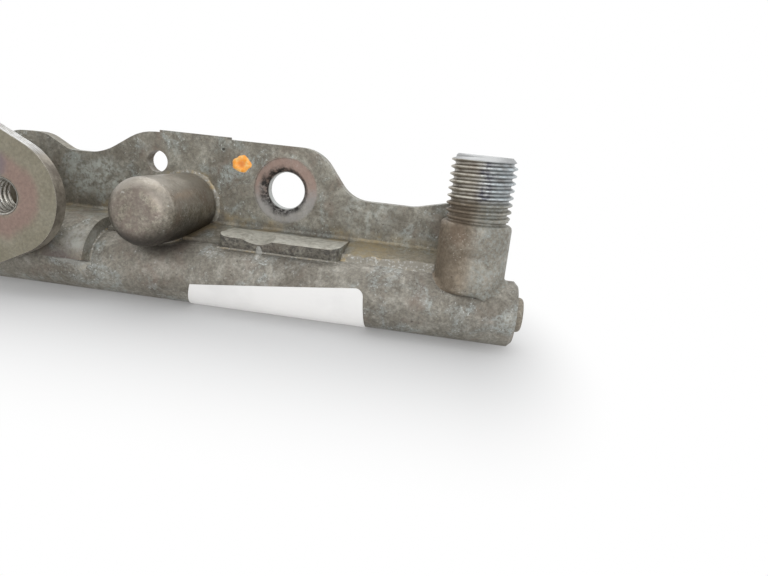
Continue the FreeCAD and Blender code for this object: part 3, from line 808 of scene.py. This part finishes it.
class FUELRAIL_OT_inlet(bpy.types.Operator):
    """Turn the inlet fitting with its thread, neck, collar and saddled foot"""

    bl_idname = "fuelrail.inlet"
    bl_label = "Inlet fitting"

    columns = 160
    skirt_rows = 7
    blend_rows = 8
    blob_angle = 5.13
    sag_angle = 4.3

    def execute(self, context):
        steel = worn_steel(
            "Inlet steel", tint=(1.0, 0.96, 0.93), bloom=0.3, stain=0.3, grit=0.2, soil_and_shade=0.4,
            shift=6.6, extra=inlet_tints)
        mesh = self.mesh(context.scene.fuel_rail_details)
        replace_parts(add_piece(mesh, steel), "inlet_fitting")
        return {"FINISHED"}

    def mesh(self, sizes):
        """Outer skin from the seat in the top, down the thread and collar, to the tube."""
        collar_top = THREAD_FOOT - 1.1 * MM
        collar_edge = collar_top - 0.95 * MM
        neck_r = (THREAD_R - sizes.inlet_depth) / MM + 0.1
        collar_r = COLLAR_R / MM
        seat = ((2.0, -30.0), (2.0, -5.2), (4.85, -0.25), (5.0, -0.08), (5.12, 0.0), (5.55, 0.0))
        collar = (
            (neck_r, 0.55), (neck_r, 0.25), (neck_r + 0.2, 0.0), (collar_r - 0.95, 0.0),
            (collar_r - 0.45, -0.13), (collar_r - 0.13, -0.45), (collar_r, -0.95))
        rows = self.even(seat, INLET_HIGH.z) + self.thread(sizes) + self.even(collar, collar_top)
        centre = Vector((INLET_X, TUBE_Y, 0.0))
        points = turned_points(rows, lambda right, back, up: centre + Vector((right, back, up)))
        for step in range(1, self.skirt_rows + self.blend_rows + 1):
            points += [centre + self.foot(angle, step, collar_edge) for angle in turns(self.columns)]
        count = len(rows) + self.skirt_rows + self.blend_rows
        return mesh_from("inlet_fitting_dressed", points, grid_faces(count, self.columns, True))

    def even(self, profile, level):
        """Rows that are the same all round, from radii and heights in millimetres past a level."""
        return [[(radius * MM, level + height * MM)] * self.columns for radius, height in profile]

    def thread(self, sizes):
        """Rows of the thread, chamfered at the top and fading out above the neck."""
        top = INLET_HIGH.z
        foot = THREAD_FOOT - 0.35 * MM
        chamfer_r = 5.68 * MM
        steps = int((top - foot) / (sizes.inlet_pitch / ROWS_A_TURN))
        rows = []
        for step in range(steps + 1):
            height = top - (top - foot) * step / steps
            fade = min(max((height - THREAD_FOOT + 0.3 * MM) / (0.9 * MM), 0.0), 1.0)
            row = []
            for angle in turns(self.columns):
                depth = sizes.inlet_depth * thread_depth(height - top + 0.55 * MM, angle, sizes.inlet_pitch)
                radius = THREAD_R - depth * fade - 0.33 * MM * (1 - fade)
                row.append((min(radius, chamfer_r + (top - height) * 1.05), height))
            rows.append(row)
        return rows

    def foot(self, angle, step, collar_edge):
        """Point of the collar's skirt or of the fillet that carries it on to the tube."""
        right, back = cos(angle), sin(angle)
        across = COLLAR_R * back
        saddle = TUBE_Z + sqrt(max(TUBE_R ** 2 - across ** 2, 0.0)) + 0.9 * MM
        floor = INLET_LOW.z + 1.45 * MM
        gap = saddle - floor
        lip = floor + 0.5 * (gap + sqrt(gap * gap + (0.5 * MM) ** 2))
        lip += 0.4 * MM * wobble((right, back, 0.0), 4.0, 21.0)
        blob = exp(-((angle - self.blob_angle) / 0.16) ** 2)
        sag = exp(-((angle - self.sag_angle) / 0.3) ** 2)
        lip -= 0.3 * MM * (blob + sag)
        start = Vector((COLLAR_R * right, across, lip))
        if step <= self.skirt_rows:
            return Vector((start.x, start.y, collar_edge + (lip - collar_edge) * step / self.skirt_rows))
        share = (step - self.skirt_rows) / self.blend_rows
        reach = 0.95 * MM * (1 + 0.6 * wobble((right, back, 1.0), 2.6, 33.0))
        far = (0.82 + 0.05 * blob) * TUBE_R * back * (1.5 - 0.5 * back ** 2)
        height = TUBE_Z + sqrt(TUBE_R ** 2 - far ** 2) - 0.05 * MM
        finish = Vector(((COLLAR_R + reach) * right, far, height))
        middle = Vector((start.x, start.y * 0.9 + finish.y * 0.1, lip * 0.2 + finish.z * 0.8))
        return start * (1 - share) ** 2 + middle * 2 * share * (1 - share) + finish * share ** 2


class FUELRAIL_OT_support_tab(bpy.types.Operator):
    """Dress the support tab and its weld nut, and cut the thread through both"""

    bl_idname = "fuelrail.support_tab"
    bl_label = "Support tab"

    columns = 96

    def execute(self, context):
        sizes = context.scene.fuel_rail_details
        major = SUPPORT_R + sizes.support_depth

        def open_hole(shell):
            for vert in shell.verts:
                away = Vector((vert.co.x - TAB_HOLE.x, vert.co.z - TAB_HOLE.z))
                if away.length < SUPPORT_R + 0.65 * MM:
                    away = away.normalized() * (major + 0.02 * MM + max(away.length - SUPPORT_R, 0.0) * 0.3)
                    vert.co.x = TAB_HOLE.x + away.x
                    vert.co.z = TAB_HOLE.z + away.y

        tab_steel = worn_steel(
            "Tab steel", bloom=0.15, stain=0.2, specks=0.2, metal=0.5, rough=(0.36, 0.5),
            shift=8.8, extra=tab_tints)
        nut_steel = worn_steel("Nut steel", tint=(1.25, 1.25, 1.25), bloom=0.2, shift=12.0)
        dress("support_tab", "tab_steel", tab_steel, sizes.edge * 2.0, reshape=open_hole)
        dress("support_tab_nut", "nut_steel", nut_steel, sizes.edge * 0.6, reshape=open_hole)
        bright = worn_steel(
            "Thread steel", tint=(1.7, 1.75, 1.85), bloom=0.1, stain=0.2, metal=0.85,
            rough=(0.25, 0.4), shift=14.0)
        add_piece(self.thread(sizes, major), bright)
        return {"FINISHED"}

    def thread(self, sizes, major):
        """Inside thread as a liner of the tab's and the nut's hole, with a narrow rim in front."""
        rim = SUPPORT_R + 0.22 * MM
        front = TAB_FRONT + 0.12 * MM
        back = NUT_BACK - 0.3 * MM
        steps = int((back - front) / (sizes.support_pitch / ROWS_A_TURN))
        rows = [[(major + 0.1 * MM, TAB_FRONT + 0.01 * MM)] * self.columns]
        for step in range(steps + 1):
            depth = front + (back - front) * step / steps
            lead = max(0.0, 1 - (depth - front) / (0.5 * MM))
            row = []
            for angle in turns(self.columns):
                cut = thread_depth(front - depth, angle, sizes.support_pitch)
                row.append((rim * lead + (SUPPORT_R + (major - SUPPORT_R) * cut) * (1 - lead), depth))
            rows.append(row)
        points = turned_points(rows, lambda right, up, back: (TAB_HOLE.x + right, back, TAB_HOLE.z + up))
        return mesh_from("support_thread", points, grid_faces(len(rows), self.columns, True))


class FUELRAIL_OT_braze(bpy.types.Operator):
    """Run braze fillets where the pieces of the rail meet"""

    bl_idname = "fuelrail.braze"
    bl_label = "Braze joints"

    def execute(self, context):
        self.size = context.scene.fuel_rail_details.braze_size
        self.metal = braze_metal("Braze", 0.0)
        self.flux = braze_metal("Flux", 0.4)
        for index, x in enumerate(CUP_X, 1):
            self.cup_ring(index, x)
            self.cup_saddle(index, x)
        ends = [bolt + BAND_RIGHT - BAND_WIDTH for bolt in BOLT_X[1:]] + [INLET_X - COLLAR_R + 0.3 * MM]
        for index, (bolt, end) in enumerate(zip(BOLT_X, ends), 1):
            pad_end = bolt + PAD_RIGHT
            self.front_edge("pad_braze_%d" % index, bolt + PAD_LEFT, pad_end, PAD_WRAP, 6.0 + index)
            self.drip("pad_tack_%d" % index, bolt - 1.6 * MM, 26.0 + index)
            self.front_edge("edge_braze_%d" % index, pad_end, end, 0.0, 30.0 + index, 1.5 * MM)
            if index > 1:
                self.band(index - 1, bolt + BAND_RIGHT)
        return {"FINISHED"}

    def band(self, index, right):
        """Braze along the three free edges of a band, with a run and a flow below it."""
        left = right - BAND_WIDTH
        self.front_edge("band_braze_%d" % index, left, right, BAND_WRAP, 11.0 + index)
        self.band_side("band_side_right_%d" % index, right, 1.0)
        self.band_side("band_side_left_%d" % index, left, -1.0)
        angles = [BAND_WRAP + radians(2.8 * step - 1) for step in range(9)]
        run = [on_tube(right - 2.0 * MM, angle, TUBE_R) for angle in angles]
        self.ribbon("band_run_%d" % index, run, 3.2 * MM, 0.5 * MM, 41.0 + index)
        flow = []
        seed = 44.0 + index
        for step in range(FLOW_STEPS + 1):
            x = right - 9.0 * MM + 9.5 * MM * step / FLOW_STEPS
            spread = radians(4 + 3.0 * wobble((x, 0.0, 0.0), 260.0, seed))
            flow.append(on_tube(x, BAND_WRAP + spread, TUBE_R))
        self.ribbon("band_flow_%d" % index, flow, 1.5 * MM, 0.4 * MM, seed)

    def drip(self, name, x, seed):
        """Tack that runs from a pad's dip down its front face on to the tube."""
        path = []
        face = Vector((0.0, -cos(PAD_WRAP), -sin(PAD_WRAP)))
        for step in range(6):
            path.append((on_tube(x, PAD_WRAP, BAND_R - 1.3 * MM - 1.7 * MM * step / 6)[0], face))
        for step in range(8):
            point, outward = on_tube(x, PAD_WRAP + radians(2 + 2.6 * step), TUBE_R)
            blend = min(step / 3, 1.0)
            path.append((point, (face * (1 - blend) + outward * blend).normalized()))
        self.ribbon(name, path, 1.9 * MM, 0.4 * MM, seed)

    def ribbon(self, name, path, width, height, seed):
        """Bead of fluxed braze along a path."""
        add_piece(mesh_from(name, *bead(path, width, height, seed)), self.flux)

    def strip(self, name, corners, size, seed, closed=False):
        """Fillet of braze along an inner corner."""
        mesh = mesh_from(name, *fillet_strip(corners, size, seed, closed))
        add_piece(mesh, self.metal)

    def cup_ring(self, index, x):
        """Ring between a cup and the plate's front."""
        corners = []
        for angle in turns(96):
            outward = Vector((cos(angle), 0.0, sin(angle)))
            point = Vector((x, PLATE_FRONT, CUP_Z)) + outward * CUP_R
            corners.append((point, outward, Vector((0.0, -1.0, 0.0))))
        self.strip("cup_braze_%d" % index, corners, self.size * 1.1, float(index), True)

    def cup_saddle(self, index, x):
        """Bead in the wedge between a cup and the tube below it."""
        points = []
        columns = 64
        levels = 5
        for level in range(levels):
            share = level / (levels - 1)
            for angle in turns(columns):
                bulge = SADDLE_R + 0.5 * MM * abs(2 * share - 1) ** 2
                bulge *= 1 + 0.06 * wobble((cos(angle), sin(angle), index - 1), 2.0, 5.0)
                across = bulge * cos(angle)
                deep = bulge * sin(angle)
                low = TUBE_Z + sqrt(TUBE_R ** 2 - deep ** 2)
                high = CUP_Z - sqrt(CUP_R ** 2 - across ** 2)
                points.append(Vector((x + across, TUBE_Y + deep, low + (high - low) * share)))
        mesh = mesh_from("saddle_braze_%d" % index, points, grid_faces(levels, columns, True))
        add_piece(mesh, self.metal)

    def front_edge(self, name, left, right, wrap, seed, size=0.32 * MM):
        """Line along the front edge of a stretch of flange that wraps the tube."""
        lean = wrap + size / TUBE_R / 2 + 0.05
        along = Vector((0.0, -cos(lean), -sin(lean)))
        steps = int((right - left) / (0.6 * MM))
        corners = []
        for step in range(steps + 1):
            point, outward = on_tube(left + (right - left) * step / steps, wrap, TUBE_R)
            corners.append((point, along, outward))
        self.strip(name, corners, size, seed)

    def band_side(self, name, x, side):
        """Line round the tube beside a band."""
        corners = []
        steps = 40
        for step in range(steps + 1):
            point, outward = on_tube(x, BAND_WRAP * step / steps, TUBE_R)
            corners.append((point, Vector((side, 0.0, 0.0)), outward))
        self.strip(name, corners, self.size * 0.6, 17.0 + side)


class FUELRAIL_OT_label(bpy.types.Operator):
    """Give the bare label its paper"""

    bl_idname = "fuelrail.label"
    bl_label = "Label"

    def execute(self, context):
        paper = label_paper()
        for slot in frame["nodes"]["part_label"].material_slots:
            slot.material = paper
        return {"FINISHED"}


class FUELRAIL_OT_paint(bpy.types.Operator):
    """Dab inspection paint on the bracket"""

    bl_idname = "fuelrail.paint"
    bl_label = "Paint dab"

    def execute(self, context):
        width = context.scene.fuel_rail_details.paint_width
        centre = Vector((PAINT_X, PLATE_FRONT, PAINT_Z))
        rings = 14
        columns = 48
        points = []
        for ring in range(rings + 1):
            share = ring / rings
            rim = exp(-((share - 0.72) / 0.2) ** 2)
            for angle in turns(columns):
                right, up = cos(angle), sin(angle)
                radius = width / 2 * share * (1 + 0.3 * wobble((right, up, 0.0), 1.6, 3.0))
                hollow = 0.25 + 0.75 * rim * (1 + 0.4 * wobble((right, up, share), 2.2, 9.0))
                height = 0.28 * MM * hollow * min((1 - share) * 6, 1.0) + 0.02 * MM
                points.append(centre + Vector((radius * right, -height, radius * 0.93 * up)))
        add_piece(mesh_from("paint_dab", points, grid_faces(rings + 1, columns, True)), paint_coat())
        return {"FINISHED"}


class FUELRAIL_OT_stage(bpy.types.Operator):
    """Set the camera, the pale floor and the soft lamps"""

    bl_idname = "fuelrail.stage"
    bl_label = "Stage"

    def execute(self, context):
        stage = context.scene.fuel_rail_stage
        self.camera(context, stage)
        self.floor(stage)
        self.lamps(stage)
        self.world(context, stage)
        context.scene.view_settings.view_transform = "Standard"
        return {"FINISHED"}

    def camera(self, context, stage):
        """Camera of the photo, from its place and three angles."""
        turn, drop, roll = stage.camera_turn, stage.camera_drop, stage.camera_roll
        view = Vector((-sin(turn) * cos(drop), cos(turn) * cos(drop), -sin(drop)))
        level = Vector((cos(turn), sin(turn), 0.0))
        rise = level.cross(view)
        right = level * cos(roll) + rise * sin(roll)
        up = rise * cos(roll) - level * sin(roll)
        data = bpy.data.cameras.new("Camera")
        data.lens = stage.lens
        data.sensor_width = 36.0
        data.clip_start = 0.005
        camera = add_object("Camera", data)
        turned = Matrix((right, up, -view)).transposed().to_4x4()
        camera.matrix_world = Matrix.Translation(stage.camera_place) @ turned
        context.scene.camera = camera

    def floor(self, stage):
        """Round pale floor that takes the rail's shadow and fades to white far off. Near the rail the camera
        sees it darker, a painted shadow round the rail, and for light bounced off it the floor glows a
        little.
        """
        height = TUBE_LOW.z - stage.floor_gap
        columns = 96
        points = [(0.0, 0.0, height)]
        points += [(FLOOR_R * cos(angle), FLOOR_R * sin(angle), height) for angle in turns(columns)]
        faces = [(0, 1 + column, 1 + (column + 1) % columns) for column in range(columns)]
        floor = add_object("Floor", mesh_from("Floor", points, faces, smooth=False))
        skin = Skin("Pale floor")
        skin.tree.nodes.remove(skin.surface)
        # Painted shadow: the camera sees the floor less white the nearer it is to the rail.
        beyond = skin.math("SUBTRACT", skin.math("ABSOLUTE", skin.x), TUBE_HIGH.x - 10 * MM)
        past = skin.times(skin.math("MAXIMUM", beyond, 0.0), 2.2)
        far = skin.span(skin.away(past, 0.0, skin.y, TUBE_Y), 0.0, 0.065, 0.2, 1.0)
        seen = skin.seen()
        tone = skin.grey(skin.span(seen, 0.0, 1.0, 0.92, 0.46))
        shade = skin.add("ShaderNodeBsdfDiffuse", {"Color": tone})
        glow = skin.add("ShaderNodeEmission", {"Color": WHITE})
        # For light bounced off it the floor glows a little, which lights the rail from below.
        skin.blend(skin.span(seen, 0.0, 1.0, 0.3, far), shade, glow, "Material Output")
        floor.data.materials.append(skin.material)

    def lamps(self, stage):
        """Large soft lamp above and behind, weaker one in front."""
        target = Vector((0.09, -0.01, -0.01))
        for name, place, size, power in (
                ("Key lamp", Vector((0.1, 0.2, 0.6)), 0.7, stage.key_power),
                ("Fill lamp", Vector((0.26, -0.6, 0.14)), 0.5, stage.fill_power)):
            data = bpy.data.lights.new(name, "AREA")
            data.energy = power
            data.size = size
            lamp = add_object(name, data)
            lamp.location = place
            lamp.rotation_euler = (target - place).to_track_quat("-Z", "Y").to_euler()

    def world(self, context, stage):
        """Light from above and behind, dimmer from the front; the camera and gloss see white."""
        world = bpy.data.worlds.new("Studio")
        context.scene.world = world
        world.use_nodes = True
        nodes = Nodes(world.node_tree, "Generated")
        rise = nodes.span(nodes.z, -0.3, 0.8, 0.75, 1.1)
        front = nodes.span(nodes.y, -0.95, -0.2, 0.5, 1.0)
        light = nodes.tree.nodes["Background"]
        nodes.feed(light.inputs["Color"], SKY)
        nodes.feed(light.inputs["Strength"], nodes.times(rise, front, stage.sky))
        white = nodes.add("ShaderNodeBackground", {"Color": WHITE})
        nodes.blend(nodes.seen(), light, white, "World Output")


OPERATORS = (
    FUELRAIL_OT_tube,
    FUELRAIL_OT_bracket,
    FUELRAIL_OT_cups,
    FUELRAIL_OT_inlet,
    FUELRAIL_OT_support_tab,
    FUELRAIL_OT_braze,
    FUELRAIL_OT_label,
    FUELRAIL_OT_paint,
    FUELRAIL_OT_stage,
)
GROUPS = {
    "fuel_rail_steel": FUELRAIL_PG_steel,
    "fuel_rail_details": FUELRAIL_PG_details,
    "fuel_rail_finishes": FUELRAIL_PG_finishes,
    "fuel_rail_stage": FUELRAIL_PG_stage,
}


class FUELRAIL_PT_panel(bpy.types.Panel):
    """Sizes, colours and steps of the fuel rail"""

    bl_idname = "FUELRAIL_PT_panel"
    bl_label = "Fuel Rail"
    bl_space_type = "VIEW_3D"
    bl_region_type = "UI"
    bl_category = "Fuel Rail"

    def draw(self, context):
        for operator in OPERATORS:
            self.layout.operator(operator.bl_idname)
        for name, group in GROUPS.items():
            box = self.layout.box()
            for key in group.__annotations__:
                box.prop(getattr(context.scene, name), key)


CLASSES = (*GROUPS.values(), *OPERATORS, FUELRAIL_PT_panel)


def register():
    for cls in CLASSES:
        bpy.utils.register_class(cls)
    for name, group in GROUPS.items():
        setattr(bpy.types.Scene, name, PointerProperty(type=group))


def unregister():
    for name in GROUPS:
        delattr(bpy.types.Scene, name)
    for cls in reversed(CLASSES):
        bpy.utils.unregister_class(cls)


def main():
    """Register the operators and dress the rail."""
    register()
    bpy.ops.fuelrail.tube()
    bpy.ops.fuelrail.bracket()
    bpy.ops.fuelrail.cups()
    bpy.ops.fuelrail.inlet()
    bpy.ops.fuelrail.support_tab()
    bpy.ops.fuelrail.braze()
    bpy.ops.fuelrail.label()
    bpy.ops.fuelrail.paint()
    bpy.ops.fuelrail.stage()


if __name__ == "__main__":
    main()
